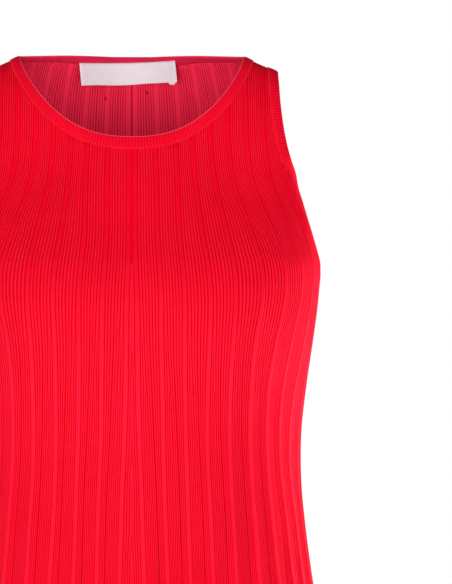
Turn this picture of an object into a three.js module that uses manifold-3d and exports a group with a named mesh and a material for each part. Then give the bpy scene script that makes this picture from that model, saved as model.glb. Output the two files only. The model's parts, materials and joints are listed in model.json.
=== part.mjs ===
// A sleeveless rib-knit mini dress, filled out as when it is worn: a fitted bodice that flares into a
// fluted skirt. Millimetres, +Z up. X = 0 is the centre plane, Y = 0 the plane of the shoulder seams,
// Z = 0 the high point of the shoulders. The front faces -Y and +X is the wearer's left.
import * as THREE from "three";
import { mergeVertices } from "three/addons/utils/BufferGeometryUtils.js";
import Module from "manifold-3d";

// ---- Driving dimensions ------------------------------------------------------------------------

const NECK_HALF = 98.3; // centre to the high point of the shoulder
const NECK_DROP = 73; // depth of the front neckline
const NECK_CURVE = { across: 2.4, down: 0.8 }; // its scoop is a superellipse with these powers
// The back neckline: how far its middle stands over the high point, and the shares of the way out
// between which its band turns from upright to the slope of the shoulders.
const BACK_NECK = { rise: 4.3, turnsFrom: 0.15, turnsTo: 0.65 };
const SHOULDER_SLOPE = Math.tan(THREE.MathUtils.degToRad(24.2));
const SHOULDER_ROUND = 20; // half-width of the round where the two shoulder lines would meet
const LENGTH = 840; // high point of the shoulder to the hem
const CHEST_LINE = -70; // over this level the wales run straight up to the shoulder
const BUST_LEVEL = -184; // under this level the shoulder slope no longer shows in the sections

const WALL = 1.6; // thickness of the knit
const SEAM_GAP = 0.3;
const WALES = 10.5; // repeats of the rib from the centre to a side seam
const RIB_LIFT = 0.8; // height of a wide rib over the ribs beside it
const YOKE_ROWS = [0.0015, 0.17, 0.36, 0.62, 1]; // share of the way from the shoulder, as a root
const ROW_LEVELS = [-104, -138, -172, -206, -242, -284, -330, -378, -432, -502, -600, -715, -LENGTH];

// Depth of the body form in front of and behind the shoulder plane, by the distance under the
// shoulder line.
const DEPTHS = [
  { drop: 0, front: 0, back: 0 },
  { drop: 4, front: 14, back: 17 },
  { drop: 10, front: 22.5, back: 28 },
  { drop: 20, front: 31, back: 40 },
  { drop: 40, front: 42, back: 55 },
  { drop: 70, front: 51, back: 68 },
  { drop: 100, front: 57, back: 76 },
  { drop: 120, front: 64, back: 80 },
  { drop: 150, front: 81, back: 84 },
  { drop: 184, front: 99, back: 87 },
  { drop: 215, front: 106, back: 86.5 },
  { drop: 250, front: 104, back: 83.5 },
  { drop: 290, front: 99, back: 79 },
  { drop: 340, front: 95.5, back: 77.5 },
  { drop: 380, front: 97, back: 81 },
  { drop: 430, front: 102.5, back: 89.5 },
  { drop: 520, front: 118, back: 107 },
  { drop: 600, front: 132, back: 123 },
  { drop: 700, front: 151, back: 144 },
  { drop: LENGTH, front: 177, back: 172 },
];

// The level sections: half-width, how far forward their widest point lies, the power of their
// superellipse, the width of the plain gore at the centre, and the depth of the flutes.
const SECTIONS = [
  { z: -70, half: 145, forward: 12, power: 2.6, gore: 2.7, flute: 0 },
  { z: -99, half: 142.4, forward: 22, power: 2.6, gore: 2.7, flute: 0 },
  { z: -121, half: 145.2, forward: 27, power: 2.6, gore: 2.7, flute: 0 },
  { z: -142, half: 152.8, forward: 24, power: 2.6, gore: 2.7, flute: 0 },
  { z: -163, half: 159.6, forward: 16, power: 2.6, gore: 2.8, flute: 0 },
  { z: -184, half: 165, forward: 8, power: 2.6, gore: 3.2, flute: 0 },
  { z: -205, half: 163.8, forward: 3, power: 2.6, gore: 4.2, flute: 0 },
  { z: -247, half: 158.7, forward: 0, power: 2.6, gore: 4.8, flute: 0 },
  { z: -290, half: 152.4, forward: 0, power: 2.5, gore: 5.2, flute: 0 },
  { z: -332, half: 148.2, forward: 0, power: 2.4, gore: 6.4, flute: 0.2 },
  { z: -374, half: 148.3, forward: 0, power: 2.3, gore: 8.2, flute: 0.6 },
  { z: -416, half: 152.4, forward: 0, power: 2.3, gore: 9.2, flute: 1.2 },
  { z: -458, half: 158.2, forward: 0, power: 2.3, gore: 10.5, flute: 2.2 },
  { z: -520, half: 169, forward: 0, power: 2.3, gore: 12, flute: 3.6 },
  { z: -600, half: 184, forward: 0, power: 2.3, gore: 14, flute: 5 },
  { z: -700, half: 204, forward: 0, power: 2.3, gore: 16.5, flute: 6.5 },
  { z: -LENGTH, half: 231, forward: 0, power: 2.3, gore: 20, flute: 8 },
];

// Fullness over the bust.
const BUST = { x: 82, z: -212, wide: 52, high: 62, out: 6 };

// How far the body pushes the front's wales out from an even spacing, by level. Wales are counted
// from the gore's edge, and the shift fades to nothing at the side seam.
const WALE_NAMES = ["one", "two", "three", "four", "five", "six", "seven", "eight"];
const WALE_SHIFTS = [
  { z: -70, one: 1.4, two: 2.8, three: 1, four: 0.6, five: 0, six: 0, seven: 0, eight: 0 },
  { z: -107, one: 1.4, two: 2.8, three: 1, four: 0.6, five: 0, six: 0, seven: 0, eight: 0 },
  { z: -160, one: -1.2, two: -2, three: -1.6, four: 0, five: 2.6, six: 4, seven: 3, eight: 1.5 },
  { z: -200, one: -0.8, two: -2, three: -1.1, four: 0.2, five: 4, six: 7, seven: 6.6, eight: 3 },
  { z: -250, one: -0.3, two: -1, three: -0.6, four: -0.3, five: 0, six: 0.4, seven: -1, eight: -1 },
  { z: -300, one: 1.2, two: 1.6, three: 2.2, four: 2.8, five: 2.7, six: 1, seven: -2, eight: -4 },
  { z: -340, one: 1.6, two: 2.7, three: 3.3, four: 4.9, five: 5.4, six: 4.2, seven: 1.4, eight: -3 },
  { z: -400, one: 1.2, two: 2.3, three: 3.2, four: 5.4, five: 7.2, six: 7.6, seven: 7, eight: 4 },
  { z: -450, one: 0.4, two: 0.9, three: 1.7, four: 3.3, five: 5.6, six: 7, seven: 6, eight: 3 },
  { z: -600, one: 0, two: 0, three: 0, four: 0.5, five: 1, six: 1, seven: 1, eight: 0.5 },
  { z: -LENGTH, one: 0, two: 0, three: 0, four: 0, five: 0, six: 0, seven: 0, eight: 0 },
];

// One repeat of the rib, outwards from its wide rib: lift raises the outer face, fold sinks both
// faces into the flute between two wide ribs.
const REPEAT = [
  { at: 0, lift: 1, fold: 0 },
  { at: 0.18, lift: 0, fold: 0.15 },
  { at: 0.62, lift: 0, fold: 1 },
  { at: 0.84, lift: 0, fold: 0.4 },
];
const GORE = { valleyAt: 0.55, valleyFold: 0.6 };
const SIDE_SEAM = { lift: 0, fold: 0.8 };

const NECKBAND = { wide: 10.5, atShoulder: 8.4, stations: 96 };
const ARMBAND = { wide: 9.6, stations: 72, samples: 800 };
// Section of a folded band: u is the share of its width from the seam, t the height off its middle.
const BAND_SECTION = [
  { u: 0, t: 0.9 },
  { u: 0.5, t: 1.5 },
  { u: 0.92, t: 1.1 },
  { u: 1, t: 0 },
  { u: 0.92, t: -1.1 },
  { u: 0, t: -1.6 },
];

// The armhole on the form, from the shoulder down the front and up the back. A row states its level
// and either how far out (x) or how far forward or back (y) it lies; the form gives the other.
const ARMHOLE = [
  { z: null, x: 119.8, face: "front" },
  { z: -22, x: 119.8, face: "front" },
  { z: -45, x: 121.2, face: "front" },
  { z: -70, x: 124.6, face: "front" },
  { z: -95, x: 131.2, face: "front" },
  { z: -119, y: -30, face: "side" },
  { z: -142, y: -21, face: "side" },
  { z: -163, y: -11, face: "side" },
  { z: -176, y: 3, face: "side" },
  { z: -169, y: 17, face: "side" },
  { z: -149, y: 31, face: "side" },
  { z: -118, y: 40, face: "side" },
  { z: -82, x: 122.5, face: "back" },
  { z: -48, x: 121, face: "back" },
  { z: -22, x: 120.4, face: "back" },
];

const CUT_REACH = 2.4; // how far past the form the cutting cones reach
const NECK_AXIS = { apex: [0, 0, -60], cap: [0, 0, 320] };
const ARM_AXIS = { apex: [60, 0, -95], cap: [420, 0, -40] };

// The blank label: hang is the level of its top at the centre, tilt its rise per millimetre across,
// and lean how far its free lower edge stands in from the sewn one.
const LABEL = { left: -46, right: 40, high: 19.8, thick: 1, hang: -1, tilt: 0.03, lean: 1.2, columns: 10 };

const COLOURS = { knit: 0xf0142c, band: 0xef122b, label: 0xeed8de };

const SECTION_STEPS = 90; // points from the centre of a face to its widest point
const SECTION_CROWD = 0.8; // this power of a sine crowds them where the section turns
const NORMAL_STEP = { run: 0.4, way: 5e-4 };
const HALVINGS = 40;
const WELD = 1e-4; // points this near to each other are one
const TINY = 1e-9;

// ---- Curves through the tables -----------------------------------------------------------------

// Smooth curve through one column of a table, by a key column that rises or falls all the way.
function through(rows, key, column, shape = (v) => v) {
  const xs = rows.map((row) => shape(row[key]));
  const ys = rows.map((row) => row[column]);
  const turned = xs[0] > xs.at(-1);
  if (turned) {
    xs.reverse();
    ys.reverse();
  }
  const slopes = xs.map((x, i) => {
    const before = i > 0 ? (ys[i] - ys[i - 1]) / (x - xs[i - 1]) : null;
    const after = i < xs.length - 1 ? (ys[i + 1] - ys[i]) / (xs[i + 1] - x) : null;
    if (before === null) return after;
    if (after === null) return before;
    const left = x - xs[i - 1];
    const right = xs[i + 1] - x;
    return (before * right + after * left) / (left + right);
  });
  return (value) => {
    const x = THREE.MathUtils.clamp(shape(value), xs[0], xs.at(-1));
    let i = 0;
    while (i < xs.length - 2 && x > xs[i + 1]) i++;
    const step = xs[i + 1] - xs[i];
    const s = (x - xs[i]) / step;
    const rise = s * s * (3 - 2 * s);
    return (
      ys[i] * (1 - rise) +
      ys[i + 1] * rise +
      step * s * (1 - s) * (slopes[i] * (1 - s) - slopes[i + 1] * s)
    );
  };
}

const root = (drop) => Math.sqrt(Math.max(drop, 0));
const depthOf = {
  front: through(DEPTHS, "drop", "front", root),
  back: through(DEPTHS, "drop", "back", root),
};
const halfAt = through(SECTIONS, "z", "half");
const forwardAt = through(SECTIONS, "z", "forward");
const powerAt = through(SECTIONS, "z", "power");
const goreAt = through(SECTIONS, "z", "gore");
const fluteAt = through(SECTIONS, "z", "flute");
const shiftsAt = WALE_NAMES.map((name) => through(WALE_SHIFTS, "z", name));

// ---- The body form -----------------------------------------------------------------------------

// Height of the shoulder line over Z = 0, carried on across the neck.
function shoulderLine(x) {
  const rounded = (across) => Math.hypot(across, SHOULDER_ROUND);
  return SHOULDER_SLOPE * (rounded(NECK_HALF) - rounded(x));
}

function dropUnderShoulder(x, z) {
  const fade = THREE.MathUtils.smoothstep(z, BUST_LEVEL, CHEST_LINE);
  return Math.max(shoulderLine(x) * fade - z, 0);
}

function bustAt(x, z) {
  const across = (Math.abs(x) - BUST.x) / BUST.wide;
  const down = (z - BUST.z) / BUST.high;
  return Math.exp(-across * across - down * down);
}

// Depth of the front or back face at a point of the front elevation.
function faceY(face, x, z) {
  if (z > CHEST_LINE) {
    const atChest = faceY(face, x, CHEST_LINE);
    const here = depthOf[face](dropUnderShoulder(x, z));
    return (atChest * here) / depthOf[face](dropUnderShoulder(x, CHEST_LINE));
  }
  const power = powerAt(z);
  const share = Math.min(Math.abs(x) / halfAt(z), 1);
  const round = (1 - share ** power) ** (1 / power);
  const middle = -forwardAt(z);
  const depth = depthOf[face](dropUnderShoulder(x, z));
  if (face === "back") return middle + (depth - middle) * round;
  return middle - (depth + middle) * round - BUST.out * bustAt(x, z) * round;
}

// Half of the level section, from the centre of a face to the side seam, as points with the length
// of cloth up to each.
const sections = new Map();
function sectionAt(face, z) {
  const name = face + z.toFixed(4);
  if (sections.has(name)) return sections.get(name);
  const half = halfAt(z);
  const other = face === "front" ? "back" : "front";
  const curve = [];
  for (let i = 0; i < 2 * SECTION_STEPS; i++) {
    const turn = (i / SECTION_STEPS) * (Math.PI / 2);
    const x = half * Math.sin(turn) ** SECTION_CROWD;
    curve.push({ x, y: faceY(i <= SECTION_STEPS ? face : other, x, z) });
  }
  const sign = face === "front" ? 1 : -1;
  const points = [{ ...curve[0], run: 0 }];
  for (let i = 1; i < curve.length; i++) {
    const a = curve[i - 1];
    let b = curve[i];
    const crossed = b.y * sign > 0;
    if (crossed) {
      const part = a.y / (a.y - b.y);
      b = { x: a.x + (b.x - a.x) * part, y: 0 };
    }
    const step = Math.hypot(b.x - a.x, b.y - a.y);
    if (step > WELD) points.push({ ...b, run: points.at(-1).run + step });
    if (crossed) break;
  }
  sections.set(name, points);
  return points;
}

function alongSection(points, run) {
  const length = Math.abs(run);
  let i = 1;
  while (i < points.length - 1 && points[i].run < length) i++;
  const a = points[i - 1];
  const b = points[i];
  const part = (length - a.run) / (b.run - a.run);
  return { x: Math.sign(run || 1) * (a.x + (b.x - a.x) * part), y: a.y + (b.y - a.y) * part };
}

// A point of the form. run is the length of cloth from the centre, negative on the wearer's right;
// way is 0 at the shoulder line, 1 at the chest line and 2 at the hem.
function formPoint(face, run, way) {
  if (way > 1) {
    const z = CHEST_LINE + (way - 1) * (-LENGTH - CHEST_LINE);
    const { x, y } = alongSection(sectionAt(face, z), run);
    return new THREE.Vector3(x, y, z);
  }
  const chest = alongSection(sectionAt(face, CHEST_LINE), run);
  const chestDrop = dropUnderShoulder(chest.x, CHEST_LINE);
  const drop = way * way * chestDrop;
  const depth = (chest.y * depthOf[face](drop)) / depthOf[face](chestDrop);
  return new THREE.Vector3(chest.x, depth, shoulderLine(chest.x) - drop);
}

function formNormal(face, run, way) {
  const { run: wide, way: high } = NORMAL_STEP;
  const across = formPoint(face, run + wide, way).sub(formPoint(face, run - wide, way));
  const down = formPoint(face, run, way + high).sub(formPoint(face, run, way - high));
  const normal = down.cross(across).normalize();
  return face === "front" ? normal : normal.negate();
}

const levelOf = (way) => (way > 1 ? CHEST_LINE + (way - 1) * (-LENGTH - CHEST_LINE) : CHEST_LINE);

// ---- Walls -------------------------------------------------------------------------------------

// Columns of a panel's grid on one side of the centre: a gore, then the repeats up to the seam.
function waleColumns() {
  const columns = [
    { gore: 0, lift: 0, fold: 0 },
    { gore: GORE.valleyAt, lift: 0, fold: GORE.valleyFold },
  ];
  for (let wale = 0; wale < WALES; wale++) {
    for (const { at, lift, fold } of REPEAT) {
      if (wale + at < WALES) columns.push({ wale: wale + at, lift, fold });
    }
  }
  columns.push({ wale: WALES, ...SIDE_SEAM });
  return columns;
}

function waleShift(wale, z) {
  const places = [0, ...WALE_NAMES.keys().map((i) => i + 1), WALES];
  const shifts = [0, ...shiftsAt.map((at) => at(z)), 0];
  const i = Math.min(Math.floor(wale), places.length - 2);
  const part = (wale - places[i]) / (places[i + 1] - places[i]);
  return shifts[i] + (shifts[i + 1] - shifts[i]) * part;
}

function runOf(face, column, z) {
  const gore = goreAt(z);
  if (column.gore !== undefined) return column.gore * gore;
  const seam = sectionAt(face, z).at(-1).run;
  const even = gore + (column.wale / WALES) * (seam - gore);
  const shift = face === "front" ? waleShift(column.wale, z) : 0;
  return Math.min(even + shift, seam - SEAM_GAP / 2);
}

// A closed wall from a grid of outer and inner points, grid[column][row].
function wallGeometry(outer, inner) {
  const columns = outer.length;
  const rows = outer[0].length;
  const positions = [];
  for (const side of [outer, inner]) {
    for (const column of side) for (const point of column) positions.push(...point.toArray());
  }
  const out = (c, r) => c * rows + r;
  const back = (c, r) => columns * rows + c * rows + r;
  const index = [];
  const quad = (a, b, c, d) => index.push(a, b, c, a, c, d);
  for (let c = 0; c < columns - 1; c++) {
    for (let r = 0; r < rows - 1; r++) {
      quad(out(c, r), out(c, r + 1), out(c + 1, r + 1), out(c + 1, r));
      quad(back(c, r), back(c + 1, r), back(c + 1, r + 1), back(c, r + 1));
    }
    quad(out(c, 0), out(c + 1, 0), back(c + 1, 0), back(c, 0));
    quad(out(c, rows - 1), back(c, rows - 1), back(c + 1, rows - 1), out(c + 1, rows - 1));
  }
  for (let r = 0; r < rows - 1; r++) {
    quad(out(0, r), back(0, r), back(0, r + 1), out(0, r + 1));
    const last = columns - 1;
    quad(out(last, r), out(last, r + 1), back(last, r + 1), back(last, r));
  }
  return indexed(positions, index);
}

function indexed(positions, index) {
  const geometry = new THREE.BufferGeometry();
  geometry.setAttribute("position", new THREE.Float32BufferAttribute(positions, 3));
  geometry.setIndex(index);
  return geometry;
}

// The whole wall of the front or the back, still without neckline and armholes.
function panelGeometry(face) {
  const half = waleColumns();
  const mirrored = half.slice(1).reverse();
  const columns = [
    ...mirrored.map((column) => ({ ...column, side: -1 })),
    ...half.map((column) => ({ ...column, side: 1 })),
  ];
  if (face === "back") columns.reverse();
  const ways = YOKE_ROWS.concat(ROW_LEVELS.map((z) => 1 + (CHEST_LINE - z) / (LENGTH + CHEST_LINE)));
  const outer = [];
  const inner = [];
  for (const column of columns) {
    const outerColumn = [];
    const innerColumn = [];
    for (const way of ways) {
      const z = levelOf(way);
      const run = column.side * runOf(face, column, z);
      const normal = formNormal(face, run, way);
      const lift = way > YOKE_ROWS[0] ? column.lift * RIB_LIFT : 0;
      const point = formPoint(face, run, way).addScaledVector(normal, -column.fold * fluteAt(z));
      outerColumn.push(point.clone().addScaledVector(normal, lift));
      innerColumn.push(point.addScaledVector(normal, -WALL));
    }
    outer.push(outerColumn);
    inner.push(innerColumn);
  }
  return wallGeometry(outer, inner);
}

// ---- Edges of the neck and the armholes --------------------------------------------------------

// The neck seam and the free edge of its band, all round from the centre front.
function neckEdges() {
  const seamHalf = NECK_HALF + NECKBAND.atShoulder * Math.cos(Math.atan(SHOULDER_SLOPE));
  const seamEnd = shoulderLine(seamHalf);
  const endRise = -seamEnd / NECKBAND.atShoulder;
  const scoop = (x, half) => {
    const share = Math.min(Math.abs(x) / half, 1);
    return (1 - share ** NECK_CURVE.across) ** NECK_CURVE.down;
  };
  const seam = [];
  const free = [];
  for (let i = 0; i < NECKBAND.stations; i++) {
    const angle = (i / NECKBAND.stations) * 2 * Math.PI;
    const across = Math.sin(angle);
    const seamX = seamHalf * across;
    const freeX = NECK_HALF * across;
    const front = Math.cos(angle) > TINY;
    const end = Math.abs(across) > 1 - TINY;
    if (front || end) {
      const seamZ = seamEnd - (NECK_DROP + NECKBAND.wide + seamEnd) * scoop(seamX, seamHalf);
      const freeZ = -NECK_DROP * scoop(freeX, NECK_HALF);
      seam.push(new THREE.Vector3(seamX, end ? 0 : faceY("front", seamX, seamZ), seamZ));
      free.push(new THREE.Vector3(freeX, end ? 0 : faceY("front", freeX, freeZ), freeZ));
    } else {
      const middle = 1 - across * across;
      const wide = NECKBAND.atShoulder + (NECKBAND.wide - NECKBAND.atShoulder) * middle;
      const freeZ = BACK_NECK.rise * middle;
      const turn = THREE.MathUtils.smoothstep(Math.abs(across), BACK_NECK.turnsFrom, BACK_NECK.turnsTo);
      const seamZ = freeZ - wide * THREE.MathUtils.lerp(1, endRise, turn);
      const seamY = faceY("back", seamX, seamZ);
      const lean = wide ** 2 - (freeZ - seamZ) ** 2 - (freeX - seamX) ** 2;
      seam.push(new THREE.Vector3(seamX, seamY, seamZ));
      free.push(new THREE.Vector3(freeX, seamY - Math.sqrt(Math.max(lean, 0)), freeZ));
    }
  }
  return { seam, free };
}

// How far out the form lies at a level and a depth.
function sideX(y, z) {
  const face = y < -forwardAt(z) ? "front" : "back";
  let low = 0;
  let high = halfAt(z);
  for (let i = 0; i < HALVINGS; i++) {
    const middle = (low + high) / 2;
    const inside = Math.abs(faceY(face, middle, z) + forwardAt(z)) > Math.abs(y + forwardAt(z));
    if (inside) low = middle;
    else high = middle;
  }
  return low;
}

// The left armhole seam and the free edge of its band.
function armEdges() {
  const knots = ARMHOLE.map((row) => {
    if (row.z === null) return new THREE.Vector3(row.x, 0, shoulderLine(row.x));
    if (row.x === undefined) return new THREE.Vector3(sideX(row.y, row.z), row.y, row.z);
    return new THREE.Vector3(row.x, faceY(row.face, row.x, row.z), row.z);
  });
  const curve = new THREE.CatmullRomCurve3(knots, true, "centripetal");
  curve.arcLengthDivisions = ARMBAND.samples;
  const seam = curve.getSpacedPoints(ARMBAND.stations).slice(0, -1);
  const hole = new THREE.Vector3();
  seam.forEach((point) => hole.add(point));
  hole.divideScalar(seam.length);
  const free = seam.map((point, i) => {
    const count = seam.length;
    const along = seam[(i + 1) % count].clone().sub(seam[(i + count - 1) % count]).normalize();
    const normal = surfaceNormal(point);
    const toward = along.cross(normal).normalize();
    if (toward.dot(hole.clone().sub(point)) < 0) toward.negate();
    return point.clone().addScaledVector(toward, ARMBAND.wide);
  });
  return { seam, free };
}

// Outward normal of the form near a point of it.
function surfaceNormal(point) {
  const { x, y, z } = point;
  const level = Math.min(z, CHEST_LINE);
  const face = y < 0 ? "front" : "back";
  const section = sectionAt(face, level);
  let best = section[1];
  const scale = z > CHEST_LINE ? faceY(face, x, CHEST_LINE) / (faceY(face, x, z) || 1) : 1;
  for (const at of section) {
    const far = Math.hypot(at.x - x, at.y - y * scale);
    if (far < Math.hypot(best.x - x, best.y - y * scale)) best = at;
  }
  const way = z > CHEST_LINE ? yokeWay(x, z) : 1 + (CHEST_LINE - z) / (LENGTH + CHEST_LINE);
  return formNormal(face, best.run, Math.max(way, YOKE_ROWS[0]));
}

function yokeWay(x, z) {
  return root(dropUnderShoulder(x, z) / dropUnderShoulder(x, CHEST_LINE));
}

// ---- Cuts and bands ----------------------------------------------------------------------------

const wasm = await Module();
wasm.setup();

function solid(geometry) {
  const bare = mergeVertices(geometry, WELD);
  return new wasm.Manifold(
    new wasm.Mesh({
      numProp: 3,
      vertProperties: new Float32Array(bare.attributes.position.array),
      triVerts: new Uint32Array(bare.index.array),
    }),
  );
}

function geometryOf(body) {
  const mesh = body.getMesh();
  const positions = [];
  for (let i = 0; i < mesh.numVert; i++) {
    for (let axis = 0; axis < 3; axis++) positions.push(mesh.vertProperties[i * mesh.numProp + axis]);
  }
  return indexed(positions, Array.from(mesh.triVerts));
}

// A cone from a point within the dress through a seam line: it cuts the wall along that line.
function cuttingCone(seam, axis, mirror = 1) {
  const place = ([x, y, z]) => new THREE.Vector3(mirror * x, y, z);
  const apex = place(axis.apex);
  const positions = [...apex.toArray(), ...place(axis.cap).toArray()];
  for (const point of seam) {
    const on = new THREE.Vector3(mirror * point.x, point.y, point.z);
    positions.push(...on.sub(apex).multiplyScalar(CUT_REACH).add(apex).toArray());
  }
  const index = [];
  for (let i = 0; i < seam.length; i++) {
    const a = i + 2;
    const b = ((i + 1) % seam.length) + 2;
    index.push(0, a, b, 1, b, a);
  }
  const cone = solid(indexed(positions, index));
  return cone.volume() > 0 ? cone : solid(indexed(positions, index.reverse()));
}

// A folded band from its seam to its free edge. Its seam face lies along the cutting cone.
function bandGeometry({ seam, free }, axis, mirror = 1) {
  const apex = new THREE.Vector3(...axis.apex);
  const count = seam.length;
  const rings = seam.map((point, i) => {
    const before = seam[(i + count - 1) % count];
    const after = seam[(i + 1) % count];
    const across = free[i].clone().sub(point);
    const along = after.clone().sub(before).normalize();
    const ray = point.clone().sub(apex).normalize();
    const normal = across.clone().cross(along).normalize();
    if (normal.dot(ray) < 0) normal.negate();
    const start = across.clone().addScaledVector(ray, -across.dot(ray)).normalize();
    return BAND_SECTION.map(({ u, t }) => {
      if (u === 0) return point.clone().addScaledVector(start, SEAM_GAP).addScaledVector(ray, t);
      return point.clone().addScaledVector(across, u).addScaledVector(normal, t);
    });
  });
  const sides = BAND_SECTION.length;
  const positions = rings.flat().flatMap(({ x, y, z }) => [mirror * x, y, z]);
  const index = [];
  for (let i = 0; i < count; i++) {
    for (let s = 0; s < sides; s++) {
      const a = i * sides + s;
      const b = i * sides + ((s + 1) % sides);
      const c = ((i + 1) % count) * sides + ((s + 1) % sides);
      const d = ((i + 1) % count) * sides + s;
      index.push(a, b, c, a, c, d);
    }
  }
  const band = solid(indexed(positions, index));
  return geometryOf(band.volume() > 0 ? band : solid(indexed(positions, index.reverse())));
}

// A blank neck label, sewn along its top to the inside of the back neckband and hanging free below.
function labelGeometry(neck) {
  const front = [];
  const back = [];
  const sorted = neck.seam
    .map((point, i) => ({ point, free: neck.free[i] }))
    .filter(({ point }) => point.y > WALL)
    .toSorted((a, b) => a.point.x - b.point.x);
  const bandAt = (x, z) => {
    let i = 1;
    while (i < sorted.length - 1 && sorted[i].point.x < x) i++;
    const [a, b] = [sorted[i - 1], sorted[i]];
    const part = (x - a.point.x) / (b.point.x - a.point.x);
    const low = a.point.clone().lerp(b.point, part);
    const high = a.free.clone().lerp(b.free, part);
    const rise = high.z - low.z;
    const y = low.y + ((high.y - low.y) * (z - low.z)) / rise;
    return { y, upright: rise / high.distanceTo(low) };
  };
  const bandHalf = Math.max(...BAND_SECTION.map(({ t }) => Math.abs(t)));
  const off = bandHalf + 3 * SEAM_GAP;
  for (let c = 0; c <= LABEL.columns; c++) {
    const x = LABEL.left + (c / LABEL.columns) * (LABEL.right - LABEL.left);
    const top = LABEL.hang + x * LABEL.tilt;
    const band = bandAt(x, top);
    const y = band.y - off / band.upright;
    front.push([
      new THREE.Vector3(x, y - LABEL.thick, top),
      new THREE.Vector3(x, y - LABEL.thick - LABEL.lean, top - LABEL.high),
    ]);
    back.push([
      new THREE.Vector3(x, y, top),
      new THREE.Vector3(x, y - LABEL.lean, top - LABEL.high),
    ]);
  }
  return wallGeometry(front, back);
}

// ---- The dress ---------------------------------------------------------------------------------

const dress = new THREE.Group();

function add(name, geometry, color, roughness) {
  const mesh = new THREE.Mesh(geometry, new THREE.MeshStandardMaterial({ color, roughness, metalness: 0 }));
  mesh.name = name;
  dress.add(mesh);
}

const neck = neckEdges();
const arm = armEdges();
const neckCut = cuttingCone(neck.seam, NECK_AXIS);
const armCuts = [1, -1].map((mirror) => cuttingCone(arm.seam, ARM_AXIS, mirror));

for (const face of ["front", "back"]) {
  const whole = solid(panelGeometry(face));
  const cut = armCuts.reduce((body, cone) => body.subtract(cone), whole.subtract(neckCut));
  add(face, geometryOf(cut), COLOURS.knit, 0.85);
}
add("neckband", bandGeometry(neck, NECK_AXIS), COLOURS.band, 0.85);
add("armband_left", bandGeometry(arm, ARM_AXIS), COLOURS.band, 0.85);
add("armband_right", bandGeometry(arm, ARM_AXIS, -1), COLOURS.band, 0.85);
add("neck_label", labelGeometry(neck), COLOURS.label, 0.5);

export default dress;
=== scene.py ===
"""The looks of a flared rib-knit mini dress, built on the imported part.

Row frame: +Z up, the front faces -Y, +X is the wearer's left. The form is worked out in
millimetres, as the part's own source does, and comes out in metres.
"""

import json
import math

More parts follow.
